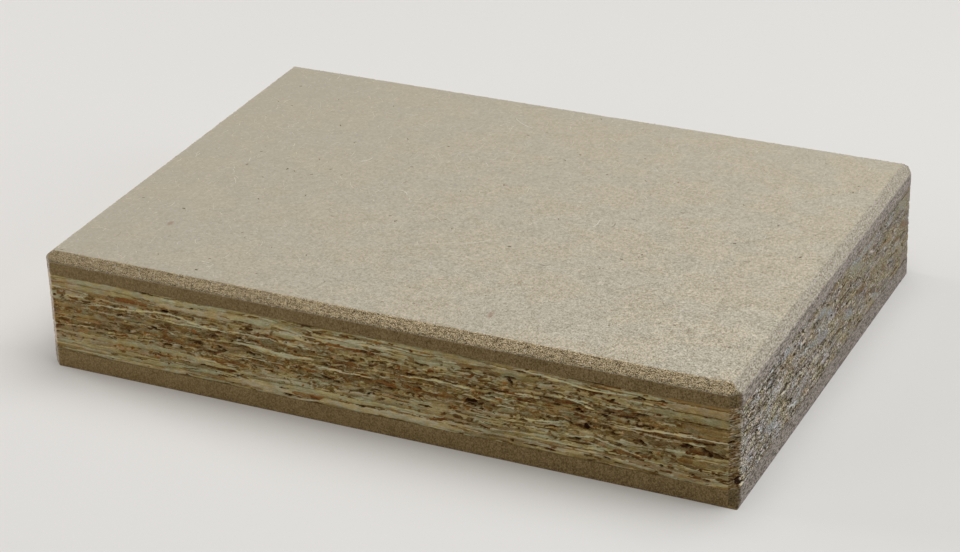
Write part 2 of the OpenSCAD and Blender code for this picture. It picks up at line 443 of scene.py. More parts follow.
# What stands out on the front side, one below another as laid: points (mm from the board's left end,
# mm above the underside), thickness in mm, tone, hue from -1, grey, over 0, wood, to 1, rusty, and
# depth in mm
frontFeatures = [
    # broad pale strands
    ([(4, 28.3), (20, 28.5), (40, 28.0), (60, 28.6)], 1.6, 0.78, 0, 0),
    ([(4, 26.6), (16, 26.8), (30, 26.9)], 1.2, 0.72, 0, 0),
    ([(36, 26.5), (48, 26.3), (62, 25.9)], 1.4, 0.76, 0, 0),
    ([(60, 27.0), (68, 27.0), (74, 26.4)], 1.5, 0.76, 0, 0),
    ([(4, 12.0), (20, 11.6), (40, 12.2), (55, 10.6), (70, 10.2)], 1.4, 0.74, 0, 0),
    ([(58, 7.2), (68, 7.4), (80, 6.8)], 1.9, 0.76, 0, 0),
    ([(70, 8.7), (88, 9.0), (105, 8.5)], 1.0, 0.74, 0, 0),
    ([(88, 6.9), (100, 6.5), (116, 6.9), (132, 6.3)], 1.9, 0.8, 0, 0),
    ([(79, 7.4), (84, 7.2), (89, 7.5)], 1.1, 0.5, 0.4, 0),
    ([(75, 24.7), (78, 24.4), (81, 24.4)], 1.3, 0.62, -1, 0),
    ([(125, 8.2), (140, 7.9)], 0.8, 0.8, 0, 0),
    ([(143, 26.0), (148, 26.4), (153, 26.0)], 1.6, 0.5, -0.8, 0),
    ([(70, 21.6), (74.5, 21.4)], 1.2, 0.45, -1, 0.1),
    ([(186, 29.0), (198, 29.1), (210.5, 29.0)], 1.3, 0.5, -0.3, 0),
    ([(189, 22.9), (199, 23.1), (209.5, 22.8)], 1.1, 0.42, -0.3, 0),
    ([(190, 20.6), (200, 20.8), (209.5, 20.6)], 1.2, 0.44, -0.3, 0),
    ([(190, 27.1), (199, 27.2), (209, 27.1)], 2.2, 0.66, -0.3, 0),
    ([(186, 24.5), (197, 24.7), (209, 24.4)], 1.8, 0.6, -0.3, 0),
    ([(194, 22.0), (201, 21.8), (209, 22.0)], 1.2, 0.48, -0.2, 0),
    # softer ones at the left
    ([(5, 20.3), (9, 20.6), (13, 20.2)], 1.0, 0.55, 0.15, 0),
    ([(6, 18.0), (15, 17.9), (26, 18.3)], 0.9, 0.56, 0.12, 0),
    ([(8, 16.4), (14, 16.7), (20, 16.3)], 0.8, 0.5, 0.1, 0),
    ([(26, 19.6), (31, 19.9), (36, 19.4)], 1.1, 0.5, -0.6, 0),
    ([(30, 17.2), (35, 17.5), (39, 17.0)], 1.1, 0.5, -0.5, 0),
    # rusty and brown flakes
    ([(23.5, 25.5), (29, 25.7), (34.5, 25.4)], 1.3, 0.42, 0.9, 0.1),
    ([(14, 21.1), (16, 21.3), (18.5, 21.2)], 0.7, 0.42, 0.9, 0.1),
    ([(4, 24.1), (7.5, 23.9)], 1.0, 0.35, 0.6, 0.1),
    ([(48, 20.5), (49.6, 19.7)], 1.2, 0.5, 0.9, 0.1),
    ([(38.5, 16.3), (42, 15.8)], 1.5, 0.3, 0.7, 0.2),
    ([(38, 18.6), (40.5, 18.2)], 0.9, 0.35, 0.7, 0.1),
    ([(12.5, 15.2), (15, 15.3)], 0.8, 0.2, 0.5, 0.3),
    ([(24.2, 9.0), (25.8, 9.0)], 1.1, 0.3, 0.3, 0.2),
    ([(35, 9.6), (37.5, 9.4)], 0.9, 0.45, 0.8, 0.1),
    ([(53.5, 12.3), (60, 12.9), (66, 12.2)], 1.1, 0.42, 0.8, 0.1),
    ([(74.5, 23.9), (78, 23.4), (82, 24.1)], 0.6, 0.3, 0.7, 0.2),
    ([(90, 24.8), (98, 24.6), (105, 24.9)], 0.8, 0.4, 0.9, 0.1),
    ([(96.8, 20.7), (99.2, 19.9)], 0.6, 0.4, 0.9, 0.1),
    ([(105, 16.4), (112, 15.8)], 1.0, 0.38, 0.7, 0.15),
    ([(113, 16.7), (121, 16.1)], 0.9, 0.36, 0.8, 0.15),
    ([(122, 15.9), (130, 16.4)], 1.0, 0.4, 0.7, 0.15),
    ([(84.5, 7.3), (87.5, 7.3)], 0.6, 0.45, 0.9, 0.1),
    ([(164, 26.7), (168, 26.5), (172.5, 26.6)], 0.5, 0.22, 0.9, 0.3),
    ([(182, 17.8), (192, 17.6), (200, 17.9)], 0.4, 0.32, 0.9, 0.3),
    ([(175, 10.5), (180, 10.0), (185, 10.2)], 0.9, 0.35, 0.3, 0.15),
    ([(193.5, 11.4), (195.5, 11.6), (197.5, 11.4)], 1.9, 0.42, 0.4, 0.1),
    ([(188, 7.0), (192, 7.1)], 0.6, 0.36, 0.9, 0.2),
    ([(197.5, 7.1), (200.5, 7.1)], 0.6, 0.36, 0.9, 0.2),
    # thin pale strands
    ([(11.5, 21.3), (19, 22.5), (28, 22.8), (36, 23.8), (43.5, 24.0), (48, 22.8), (54, 22.3), (63, 21.9)],
     0.5, 1.0, 0, 0),
    # a painted glint
    ([(38.5, 28.2), (44, 28.3)], 0.35, 1.15, 0, 0),
    ([(4, 6.2), (20, 6.4), (35, 6.1)], 0.45, 0.86, 0, 0),
    ([(61, 19.6), (70, 19.0), (78, 18.5), (86.5, 18.9)], 1.0, 0.86, 0, 0),
    ([(85, 17.2), (95, 16.9), (105, 17.2)], 0.4, 0.92, 0, 0),
    ([(84.5, 28.3), (87, 27.2), (90, 26.5)], 0.35, 0.92, 0, 0),
    ([(90, 27.1), (102, 26.7), (115, 27.2)], 0.6, 0.88, 0, 0),
    ([(81.4, 25.3), (82.5, 25.8), (83.6, 25.3)], 0.35, 1.1, 0, 0),
    ([(113, 19.5), (124, 20.2), (135, 19.8)], 0.5, 0.92, 0, 0),
    ([(131, 17.6), (134, 17.9), (136.5, 17.1)], 0.3, 1.0, 0, 0),
    ([(149, 28.7), (158, 28.2), (167, 27.1), (172, 27.1), (181.5, 27.8)], 0.45, 1.08, 0, 0),
    ([(159.5, 23.5), (165, 22.4), (170, 21.0)], 0.45, 0.98, 0, 0),
    ([(173, 18.3), (180, 17.9), (190, 18.7), (206, 19.0), (210, 19.3)], 0.5, 1.0, 0, 0),
    ([(149, 14.0), (155, 14.7), (161.5, 15.5)], 0.45, 0.97, 0, 0),
    ([(159.5, 11.0), (168, 12.7), (175, 11.8), (185, 9.5)], 0.4, 0.97, 0, 0),
    ([(161, 8.2), (172, 8.3)], 0.35, 1.0, 0, 0),
    ([(175, 7.8), (180, 7.8)], 0.3, 1.02, 0, 0),
    # slits, pits and gaps, sunk and painted dark as shade
    ([(192, 28.3), (200, 28.4), (209, 28.3)], 0.2, 0.2, 0.2, 0.2),
    ([(184, 25.7), (197, 25.9), (209, 25.7)], 0.22, 0.15, 0.2, 0.3),
    ([(190, 23.2), (200, 23.3), (209, 23.0)], 0.25, 0.12, 0.3, 0.3),
    ([(38.4, 24.5), (39.8, 24.6), (41, 24.4)], 0.8, 0.0, 0, 1.3),
    ([(22.5, 23.1), (23.5, 23.1)], 0.4, 0.12, 0, 0.4),
    ([(18.5, 24.1), (19.5, 24.1)], 0.4, 0.12, 0, 0.4),
    ([(32, 24.0), (33, 24.0)], 0.4, 0.12, 0, 0.4),
    ([(4, 15.6), (7.5, 15.4)], 0.6, 0.14, 0.3, 0.4),
    ([(52.5, 10.2), (57, 9.8), (62, 10.1)], 0.8, 0.2, 0.3, 0.3),
    ([(55.5, 17.1), (58, 16.9)], 0.35, 0.0, 0, 0.9),
    ([(101.5, 24.9), (103.5, 24.7)], 0.5, 0.05, 0, 0.7),
    ([(86.5, 21.5), (87.5, 21.5)], 0.5, 0.05, 0, 0.7),
    ([(92, 20.6), (93, 20.4)], 0.5, 0.05, 0, 0.7),
    ([(108, 20.0), (109, 20.0)], 0.5, 0.05, 0, 0.7),
    ([(114.5, 20.7), (118, 20.7)], 0.4, 0.0, 0, 0.9),
    ([(122.5, 20.9), (125.5, 20.9)], 0.4, 0.0, 0, 0.9),
    ([(132, 16.6), (134, 16.3), (136, 16.7)], 0.8, -0.05, 0, 1.3),
    ([(133, 15.4), (135, 15.2)], 0.5, 0.0, 0.3, 0.9),
    ([(80.5, 15.2), (82, 15.9), (83.5, 15.2)], 0.35, 0.05, 0, 0.7),
    ([(88, 14.7), (91, 14.1), (94.5, 13.3)], 0.4, 0.0, 0, 1.0),
    ([(118, 11.8), (122, 11.8)], 0.45, 0.1, 0.3, 0.6),
    ([(113, 12.8), (116, 12.8)], 0.4, 0.1, 0.3, 0.6),
    ([(76.5, 6.4), (78, 6.2), (79.5, 6.3)], 0.6, 0.05, 0, 0.8),
    ([(144, 25.9), (147.5, 25.9)], 0.7, 0.15, -1, 0.5),
    ([(152.5, 24.1), (155, 24.1)], 0.4, 0.05, 0, 0.8),
    ([(165, 20.6), (165.8, 20.2), (166.6, 20.0)], 0.9, 0.0, 0.3, 1.1),
    ([(166.5, 15.9), (167.5, 15.6), (168.6, 15.1)], 1.0, 0.0, 0.4, 1.2),
    ([(182, 15.2), (183.5, 14.4), (184.7, 13.6)], 0.7, 0.0, 0.2, 1.1),
    ([(185, 12.1), (186.5, 11.5)], 0.6, 0.0, 0.2, 1.0),
    ([(194.4, 16.3), (195.8, 16.4), (197, 16.0)], 0.9, 0.0, 0.4, 1.2),
    ([(199.5, 16.6), (201.6, 15.4), (203, 13.9)], 0.5, 0.0, 0.4, 1.2),
    ([(201.8, 15.6), (204.0, 15.2), (206.0, 14.2)], 0.4, 0.1, 0.6, 0.8),
    ([(198, 18.2), (201, 17.6), (204, 17.9)], 0.4, 0.1, 0.6, 0.8),
    ([(197, 13.1), (198, 12.9)], 0.5, 0.05, 0.2, 0.8),
    ([(148.5, 13.8), (150, 13.8)], 0.4, 0.05, 0, 0.8),
    ([(149.5, 6.5), (153.5, 6.5)], 0.4, 0.08, 0.3, 0.6),
    ([(145.4, 6.7), (146.6, 6.7)], 0.5, 0.1, 0, 0.5),
    # a pit at the front right corner, sunk and painted dark as shade, with painted highlights on its lips
    # and a painted orange glint inside
    ([(209.2, 7.3), (211.0, 7.5), (212.9, 7.3)], 2.4, -0.1, 0.6, 1.3),
    ([(210.6, 7.6), (211.2, 7.8), (211.8, 7.6)], 0.7, 0.9, 3, 0),
    ([(210.7, 6.2), (211.6, 6.0), (212.6, 6.1)], 0.4, 1.9, 0.8, 0),
    ([(212.2, 8.3), (212.5, 7.7), (212.7, 7.1)], 0.3, 1.3, 0.8, 0),
]
# and on the right end, with the distance from the front right corner
rightFeatures = [
    ([(21, 13.0), (25, 12.2), (30, 11.5)], 3.6, 0.5, -1, 0),
    ([(35, 28.0), (40, 27.9), (45, 27.4)], 1.8, 0.55, -0.8, 0),
    ([(62, 27.5), (68, 25.0), (75, 22.5)], 3.0, 0.52, -0.9, 0),
    ([(56, 20.5), (64, 18.5), (72, 17.0)], 2.6, 0.5, -0.7, 0),
    ([(39, 24.9), (42, 24.6), (45, 24.2)], 1.5, 0.58, 0.5, 0),
    ([(50, 26.2), (54, 25.2), (58, 24.4)], 1.5, 0.58, 0.45, 0),
    ([(90, 28.0), (96, 26.0), (103, 23.5)], 3.6, 0.53, -0.9, 0),
    ([(85, 15.5), (90, 13.5), (95, 11.5)], 2.8, 0.52, -0.8, 0),
    ([(96, 17.2), (100, 16.4), (105, 15.4)], 1.8, 0.4, 0.8, 0),
    ([(110, 11.6), (113, 10.8), (116, 9.6)], 2.0, 0.34, 0.7, 0.1),
    ([(112, 8.6), (115, 7.8), (118, 7.0)], 2.2, 0.56, -0.9, 0),
    ([(121, 15.0), (123, 13.2), (125, 11.4)], 2.2, 0.38, 0.5, 0),
    ([(131, 17.8), (134, 17.2), (137, 16.4)], 1.5, 0.34, 0.5, 0),
    ([(135, 28.0), (140, 26.0), (144, 24.0)], 2.8, 0.56, -0.8, 0),
    ([(136, 14.5), (139, 12.5), (141, 10.0)], 2.4, 0.56, -0.3, 0),
    ([(48, 25.0), (50.5, 24.4), (53, 24.9)], 0.8, 0.85, 0.3, 0),
    ([(31, 17.9), (34, 16.9), (37, 16.4)], 0.5, 0.9, 0.5, 0),
    ([(40, 10.0), (43, 8.9), (46, 8.7)], 0.5, 1.05, 0, 0),
    # pits, slits and gaps, sunk and painted dark as shade, among a few rusty slivers
    ([(10.6, 28.1), (12, 27.8)], 1.0, 0.25, 0.8, 0.4),
    ([(15.8, 26.6), (16.6, 25.4)], 0.8, 0.05, -1, 0.9),
    ([(19.6, 26.8), (20.8, 26.4)], 0.9, 0.0, 0.2, 0.9),
    ([(32, 17.8), (34.5, 17.0)], 0.7, 0.0, 0.3, 1.1),
    ([(36.8, 18.5), (39, 17.6)], 0.7, 0.0, 0, 1.0),
    ([(40.5, 11.6), (44, 10.4)], 0.8, 0.0, 0.2, 1.2),
    ([(42, 24.6), (44.6, 24.0)], 0.8, 0.15, 0.5, 0.5),
    ([(64, 9.0), (67, 8.6)], 0.9, 0.2, 0.4, 0.4),
    ([(25, 13.9), (27, 13.4)], 0.5, 0.1, 0, 0.8),
    ([(2, 24.9), (16, 24.4), (35, 24.7)], 0.3, 0.05, 0, 0.4),
    ([(4, 22.1), (12, 21.4), (24, 21.0)], 0.3, 0.1, 0, 0.4),
    ([(14, 9.0), (24, 9.0), (38, 8.3)], 0.25, 0.1, 0, 0.4),
    ([(57.5, 5.9), (61, 5.8)], 0.9, 0.3, 0.9, 0.1),
    ([(37.5, 6.5), (39.5, 6.3)], 0.8, 0.35, 0.8, 0.1),
    ([(11.3, 6.9), (12.6, 6.8)], 0.7, 0.0, 0, 0.9),
    ([(78, 24.6), (84, 23.8), (92, 24.4)], 1.4, 0.46, 0.2, 0),
    ([(96, 27.8), (106, 27.0), (116, 27.4)], 1.8, 0.56, -0.9, 0),
    ([(138, 20.5), (142, 19.0), (147, 17.5)], 2.0, 0.42, 0.9, 0),
    ([(133, 15.8), (138, 15.4)], 1.6, 0.66, 0.1, 0),
]


def smoothPath(points, step=0.5):  # a curve through the points
    path = []
    ends = [points[0]] + points + [points[-1]]
    for before, start, end, after in zip(ends, ends[1:], ends[2:], ends[3:]):
        before, start, end, after = (Vector(place) for place in (before, start, end, after))
        count = max(3, round((end - start).length / step))
        for index in range(count):
            t = index / count
            path.append(0.5 * (2 * start + (end - before) * t
                               + (2 * before - 5 * start + 4 * end - after) * t ** 2
                               + (3 * start - before - 3 * end + after) * t ** 3))
    path.append(Vector(points[-1]))
    return path


frontStart = 0
rightStart = longSide + bevelSide
backStart = rightStart + shortSide + bevelSide
leftStart = backStart + longSide + bevelSide
ridge = halfLength - halfWidth  # where the wedges behind the sides meet

coreSides = {
    "acrossSpacing": 0.18,  # mm between the skin's points, up the board
    "alongSpacing": 0.33,   # mm between them along the board
    "grain": 0.06,          # mm of fine roughness
    "edgeRound": 0.12,      # mm that a strand falls off towards its edges
    "emptyDepth": 0.7,      # mm where no strand reaches the cut
    "handLaid": 60,         # mm, the height of the listed flakes over the mat
    "longFray": (2.6, 1.1),    # how ragged the strands' ends and edges are on the long sides
    "shortFray": (0.7, 0.35),  # and on the short ones
    "sides": {  # start and length along the outline, in mm, runs of flakes, fray, ridge in m
        "core_front": (frontStart, longSide, longSideRuns, "longFray", [(ridge, 0), (-ridge, 0)]),
        "core_right": (rightStart, shortSide, shortSideRuns, "shortFray", [(ridge, 0)]),
        "core_back": (backStart, longSide, longSideRuns, "longFray", [(-ridge, 0), (ridge, 0)]),
        "core_left": (leftStart, shortSide, shortSideRuns, "shortFray", [(-ridge, 0)]),
    },
}


def layFeatures():  # the listed flakes, as flat ribbons over all the others
    corners, faces, looks, fibres = [], [], [], []
    placed = [(frontStart - cornerBevel / mm, feature) for feature in frontFeatures]
    placed += [(rightStart - cornerBevel / mm, feature) for feature in rightFeatures]
    for number, (start, (points, thickness, tone, hue, sink)) in enumerate(placed):
        path = smoothPath(points)
        first = len(corners)
        for index, place in enumerate(path):
            share = index / (len(path) - 1)
            ahead = path[min(index + 1, len(path) - 1)] - path[max(index - 1, 0)]
            sideways = Vector((-ahead.y, ahead.x)).normalized()
            full = min(1, 4 * min(share, 1 - share)) ** 0.5
            wobble = 1 + 0.5 * noise.noise(Vector((place.x * 0.8, place.y, number)))
            for edge in (-1, 0, 1):
                spot = place + sideways * edge * thickness / 2 * full * wobble
                corners.append((start + spot.x, spot.y - coreLow.z / mm,
                                coreSides["handLaid"] + number * 0.1))
                looks.append((tone, hue, sink))
                fibres.append((edge * thickness / 2, number * 0.37 % 1, edge))
        for index in range(len(path) - 1):
            here = first + 3 * index
            faces += [(here, here + 3, here + 4, here + 1), (here + 1, here + 4, here + 5, here + 2)]
    return newPiece("strand_lay", corners, faces, look=looks, fibre=fibres)


def layStrands():
    lay = layFeatures()
    graph = buildStrandGraph()
    seed = 1
    for start, length, runs, fray, ridges in coreSides["sides"].values():
        for flakes in runs.values():
            giveNodes(lay, graph, {**flakes, **pressing, "Start": start - bevelSide,
                                   "Reach": length + 2 * bevelSide, "Core Height": coreHeight / mm,
                                   "Wave Seed": start * 0.1, "Seed": seed})
            seed += 1
    return settle(lay)


# The core's four cut sides: a fine skin over a wedge each, meeting in the corner bevels

def buildSkinGraph():
    graph, given = geometryGraph("cutThroughStrands", Object=["Strands"], Material=["Material"], Float=[
        "Outline", "Core Height", "Grain", "Edge Round", "Empty Depth", "Fray Along", "Fray Across"])
    strands = graph.shapeOf(given["Strands"])
    around = [graph.add("GeometryNodeTransform",
                        {"Geometry": strands, "Translation": graph.vector(given["Outline"] * turn)})
              for turn in (-1, 1)]
    mat = graph.join(strands, *(copy["Geometry"] for copy in around))
    spot = x, y, z = [part / mm for part in graph.place()]
    ends = graph.grain(spot, (0.5, 0.5, 1.3)) - 0.5
    edges = graph.noise((x * 0.35 + 40, y * 0.35, z * 0.9), detail=1) - 0.5
    along, height, onSkin = graph.split(graph.read("place", "FLOAT_VECTOR"))
    # the outer strands are whole
    ragged = height.atMost(given["Core Height"] - height).rise(2, 8) * 0.65 + 0.35
    source = graph.vector(along + ends * ragged * given["Fray Along"],
                          (height + edges * ragged * given["Fray Across"]).atLeast(0.03)
                          .atMost(given["Core Height"] - 0.03), 200.0)

    def seen(name):  # the attribute of the strand that lies outermost at this place
        return graph.add("GeometryNodeRaycast", {
            "Target Geometry": mat, "Attribute": graph.read(name, "FLOAT_VECTOR"),
            "Source Position": source, "Ray Direction": graph.vector(0, 0, -1.0),
            "Ray Length": 400.0}, data_type="FLOAT_VECTOR")

    strand = seen("look")
    hit = strand["Is Hit"] * 1
    tone, hue, sink = graph.split(strand["Attribute"])
    flow, number, edge = graph.split(seen("fibre")["Attribute"])
    fine = graph.grain(spot, (0.8, 0.8, 3), detail=3)
    solid = sink * (1 - edge ** 2 * 0.5) + given["Edge Round"] * edge ** 4 + given["Grain"] * fine
    depth = graph.add("GeometryNodeBlurAttribute", {
        "Value": solid * hit + given["Empty Depth"] * (1 - hit), "Iterations": 1, "Weight": 0.5},
        data_type="FLOAT")["Value"]
    inward = graph.scaled(graph.read("outward", "FLOAT_VECTOR"), depth * onSkin * -mm)
    cut = graph.move(given["Geometry"], inward)
    # where no strand reaches the cut, the hollow is painted dark as shade
    look = graph.vector(tone * hit + (1 - hit) * 0.1, hue, depth)
    cut = graph.store(cut, "look", look, "FLOAT_VECTOR")
    graph.finish(graph.store(cut, "fibre", graph.vector(flow, number, edge), "FLOAT_VECTOR"))
    return graph


def coreWedge(name, start, end, ridges):  # one side's skin, closed by flat faces that meet at the ridges
    outline = outlineAt(0, coreSides["alongSpacing"])
    walk = [point._replace(along=point.along - outlineLength) for point in outline] + outline
    stretch = [point for point in walk if start - 0.001 < point.along < end + 0.001]
    rows = round(coreHeight / mm / coreSides["acrossSpacing"]) + 1
    corners, places, outwards, endCuts, faces = [], [], [], [], []
    for point in stretch:
        for row in range(rows):
            share = row / (rows - 1)
            corners.append((point.x, point.y, coreLow.z + coreHeight * share))
            places.append((point.along, coreHeight / mm * share, 1))
            outwards.append(point.outward)
            endCuts.append(point.endCut)
    columns = len(stretch)
    for low in (column * rows + row for column in range(columns - 1) for row in range(rows - 1)):
        faces.append((low, low + rows, low + rows + 1, low + 1))
    inner = len(corners)
    for x, y in ridges:
        for height in (coreLow.z, coreHigh.z):
            corners.append((x, y, height))
            places.append((0, 0, 0))
            outwards.append((0, 0, 1))
            endCuts.append(0)
    lowInner = [inner + 2 * index for index in range(len(ridges))]
    highInner = [index + 1 for index in lowInner]
    lastColumn = (columns - 1) * rows
    faces.append([column * rows for column in reversed(range(columns))] + lowInner[::-1])
    faces.append([column * rows + rows - 1 for column in range(columns)] + highInner)
    faces.append(list(range(rows)) + [highInner[-1], lowInner[-1]])
    faces.append([lastColumn + row for row in reversed(range(rows))] + [lowInner[0], highInner[0]])
    if len(ridges) == 2:
        faces.append((lowInner[0], lowInner[1], highInner[1], highInner[0]))
    return newPiece(name, corners, faces, place=places, outward=outwards, endCut=endCuts)


# Materials

def startMaterial(name):
    material = bpy.data.materials.new(name)
    material.use_nodes = True
    material.node_tree.nodes.clear()
    return material, Graph(material.node_tree)


def endMaterial(graph, colour, roughness, height, reach):  # reach of the fine bumps in mm
    bump = graph.add("ShaderNodeBump", {"Height": height, "Distance": reach * mm})["Normal"]
    shader = graph.add("ShaderNodeBsdfPrincipled", {
        "Base Color": colour, "Roughness": roughness, "Normal": bump, "Specular IOR Level": 0.25})["BSDF"]
    graph.add("ShaderNodeOutputMaterial", {"Surface": shader})


def fromScreen(*colour):  # a colour as a screen shows it, from 0 to 255, as the linear one
    parts = [part / 255 for part in colour]
    return (*(part / 12.92 if part <= 0.04045 else ((part + 0.055) / 1.055) ** 2.4 for part in parts), 1)


def pointAttribute(graph, name):
    return graph.add("ShaderNodeAttribute", attribute_type="GEOMETRY", attribute_name=name)


def inMillimetres(graph):
    x, y, z = graph.split(graph.add("ShaderNodeTexCoord")["Object"])
    return x / mm, y / mm, z / mm


# A corner bevel looks like the ends at the left, and like the long sides at the right
def endShare(endCut, x):
    return endCut ** (6 + x * (5.85 * mm / halfLength))


def cornerShare(endCut, rough):  # 1 on the corner bevels, with ragged edges
    ragged = (endCut * (1 - endCut) * 4 + rough).rise(0.05, 0.35)
    return ragged * endCut.rise(0, 0.02) * (1 - endCut.rise(0.98, 1))


def sawChatter(graph, x, y, z):  # the slanting marks on the corner bevels
    return graph.noise(((x + y) * 0.5, z * 2.6 - (x + y) * 0.1, 40), detail=3, distortion=0.8) - 0.5


strandColours = {               # tone to colour, cut along the strands and across them
    "along": [(0.0, (70, 39, 5)), (0.17, (93, 68, 27)), (0.32, (115, 93, 53)), (0.47, (135, 117, 76)),
              (0.62, (156, 140, 101)), (0.74, (174, 160, 125)), (0.86, (192, 180, 148)),
              (1.0, (211, 201, 168))],
    "across": [(0.0, (60, 48, 29)), (0.2, (100, 89, 69)), (0.4, (139, 129, 111)), (0.6, (177, 169, 154)),
               (0.8, (210, 205, 195)), (1.0, (240, 238, 232))],
    "rusty": (1.22, 0.87, 0.57, 1),   # times the plain colour
    "grey": (0.91, 1.0, 1.08, 1),
    "green": (0.955, 1.02, 0.98, 1),
    "red": (1.10, 0.965, 0.93, 1),
    "golden": (1.07, 1.0, 0.78, 1),
    "olive": (0.965, 0.99, 0.83, 1),
    "blue": (0.94, 1.03, 1.09, 1),
    "brown": (1.03, 0.92, 0.85, 1),
    "lilac": (1.06, 0.98, 1.05, 1),
    # tints of the painted shade on the right corner bevels and of the painted highlight on the left ones
    "shadedRightCorner": (0.95, 0.96, 1.16, 1),
    "litLeftCorner": (0.99, 0.98, 1.06, 1),
    "hollowShade": (0.48, 0.61, 0.80),     # the share of red, green and blue that the painted shade takes away in the hollows
    # how far each moves the tone
    "fibres": 0.75, "crumbs": 0.7, "blotches": 0.45, "specks": 2.1, "edgeLightShade": 0.08, "rust": -0.12,
    "chatter": 2.3,
    "middle": 0.05,                   # the long sides are paler around the middle
}


def makeStrandMaterial():
    how = strandColours
    material, graph = startMaterial("cut_strands")
    spot = x, y, z = inMillimetres(graph)
    tone, hue, depth = graph.split(pointAttribute(graph, "look")["Vector"])
    flow, number, edge = graph.split(pointAttribute(graph, "fibre")["Vector"])
    endCut = pointAttribute(graph, "endCut")["Fac"]
    share = endShare(endCut, x)
    longCut = 1 - share
    atRight = x.rise(-10, 10)
    fibres = graph.noise((x * 0.6 + number * 50, y * 0.6, flow * 6), detail=3, roughness=0.65) - 0.5
    crumbs = graph.grain(spot, (1.8, 1.8, 3.2), roughness=0.65) - 0.5
    blotches = graph.grain(spot, (0.35, 0.35, 0.9), 30) - 0.5
    specks = graph.grain(spot, (1.6, 1.6, 3.6), roughness=0.7) - 0.5
    tints = graph.grain(spot, (0.3, 0.3, 0.7), 60, detail=1)
    oliveBlue = graph.grain(spot, (0.13, 0.13, 0.28), 90, detail=4, roughness=0.6)
    brownLilac = graph.grain(spot, (0.16, 0.16, 0.35), 150, detail=4, roughness=0.6)
    soaked = graph.grain(spot, (0.5, 0.5, 1.2), 20)
    # painted light on each strand: a highlight along its upper edge and shade along its lower one
    edgeLightShade = edge.rise(0.3, 0.9) - (0 - edge).rise(0.3, 0.9)
    rust = ((hue.atLeast(0) * (soaked.rise(0.3, 0.62) * 1.4 + 0.25)).atMost(1.2)
            * (1 - tone.rise(0.5, 0.9) * 0.6))
    corner = cornerShare(endCut, crumbs * 0.6 * atRight)
    shadedRightCorner = corner * atRight  # painted shade on the corner bevels at the right, whose cut is also more ragged and fainter, and a painted highlight on those at the left
    litLeftCorner = corner * (1 - atRight)
    # the tone that the painted shade on the right corner bevels pulls towards, darker lower down
    rightCornerShade = 0.38 + (z - 19) * 0.009
    common = (tone + (rightCornerShade - tone) * shadedRightCorner * 0.6 + rust * how["rust"]
              + corner * sawChatter(graph, x, y, z) * how["chatter"])
    middle = 1 - abs(x + 15).rise(15, 50)
    smooth = (1.2 - tone).atMost(1)  # the palest strands are the cleanest
    alongTone = (common + fibres * how["fibres"] + crumbs * smooth * how["crumbs"]
                 + blotches * how["blotches"] + edgeLightShade * how["edgeLightShade"] + middle * how["middle"])
    calm = (1 - x.rise(-95, -50)) * 0.2  # less contrast at the left end
    alongTone = between(alongTone, 0.62, calm)
    nearer = 1.04 - y * 0.0079  # the short sides are rougher towards the front
    acrossTone = 0.445 + (common + specks * how["specks"] - 0.46) * nearer
    # painted highlight: the corner bevels at the left are made pale
    acrossTone = acrossTone + (0.66 - acrossTone) * litLeftCorner * 0.85
    colour = graph.blend(share, graph.ramp(alongTone, how["along"]), graph.ramp(acrossTone, how["across"]))
    for amount, name in [
            (rust * (1 - share * 0.6), "rusty"),
            ((0 - hue).atLeast(0) * 0.9, "grey"),
            (tints.rise(0.46, 0.58) * longCut, "golden"),
            ((1 - tints.rise(0.36, 0.46)) * longCut * 0.6, "blue"),
            ((1 - x.rise(-95, -35)) * (1 - brownLilac.rise(0.42, 0.52)) * longCut, "lilac"),
            ((1 - number.rise(0.5, 0.6)) * tone.rise(0.4, 0.7) * longCut, "green"),
            (number.rise(0.6, 0.7) * (1 - tone.rise(0.55, 0.8)) * longCut, "red"),
            (oliveBlue.rise(0.49, 0.57) * share, "olive"),
            ((1 - oliveBlue.rise(0.43, 0.51)) * share, "blue"),
            (brownLilac.rise(0.49, 0.57) * share, "brown"),
            ((1 - brownLilac.rise(0.43, 0.51)) * share, "lilac"),
            (shadedRightCorner, "shadedRightCorner"),
            (litLeftCorner, "litLeftCorner")]:
        colour = graph.tint(amount, colour, how[name])
    # a painted highlight along the arris where the corner bevels meet the short sides
    arrisHighlight = endCut.rise(0.78, 0.9) * (1 - endCut.rise(0.985, 1.0)) * crumbs.rise(0.0, 0.12)
    colour = graph.blend(arrisHighlight * 0.7, colour, fromScreen(*how["along"][-1][1]))
    fromJoint = (z - coreLow.z / mm).atMost(coreHigh.z / mm - z)
    glueLine = (1 - fromJoint.rise(0.05, 0.4)) * (crumbs.rise(-0.15, 0.1) * 0.35 + share * 0.4)
    # painted shade in the hollows, deeper where the cut lies deeper, weaker on the corner bevels at the left
    hollowShade = depth.rise(0.25, 1.1) * (1 - litLeftCorner * 0.7)
    colour = graph.dim(colour, *((1 - hollowShade * loss) * (1 - glueLine) for loss in how["hollowShade"]))
    endMaterial(graph, colour, 0.85, fibres + crumbs, 0.15)
    return material


fibreboardColours = {           # dark and pale grains of each cut
    "face": ((124, 117, 99), (219, 213, 198)),
    "longBevel": ((58, 38, 4), (248, 227, 183)),
    "shortBevel": ((132, 121, 103), (216, 209, 195)),
    "longBand": ((76, 55, 24), (159, 138, 97)),
    "shortBand": ((78, 68, 58), (199, 189, 179)),
    "glint": (250, 238, 208),
    "fibre": (210, 203, 188),
    "fleck": (140, 118, 92),
    "smudge": (151, 126, 108),
    "smudges": [(29.3, -61.5, 1.1, 2.4), (-80.0, -45.0, 1.0, 1.6)],  # x, y, half width, half length, in mm
    "fibreTurns": (0.35, 1.45, 2.5),   # directions of the faint fibres in the face
    "warm": (1.025, 0.994, 0.950, 1),  # times the face's colour, in patches
}


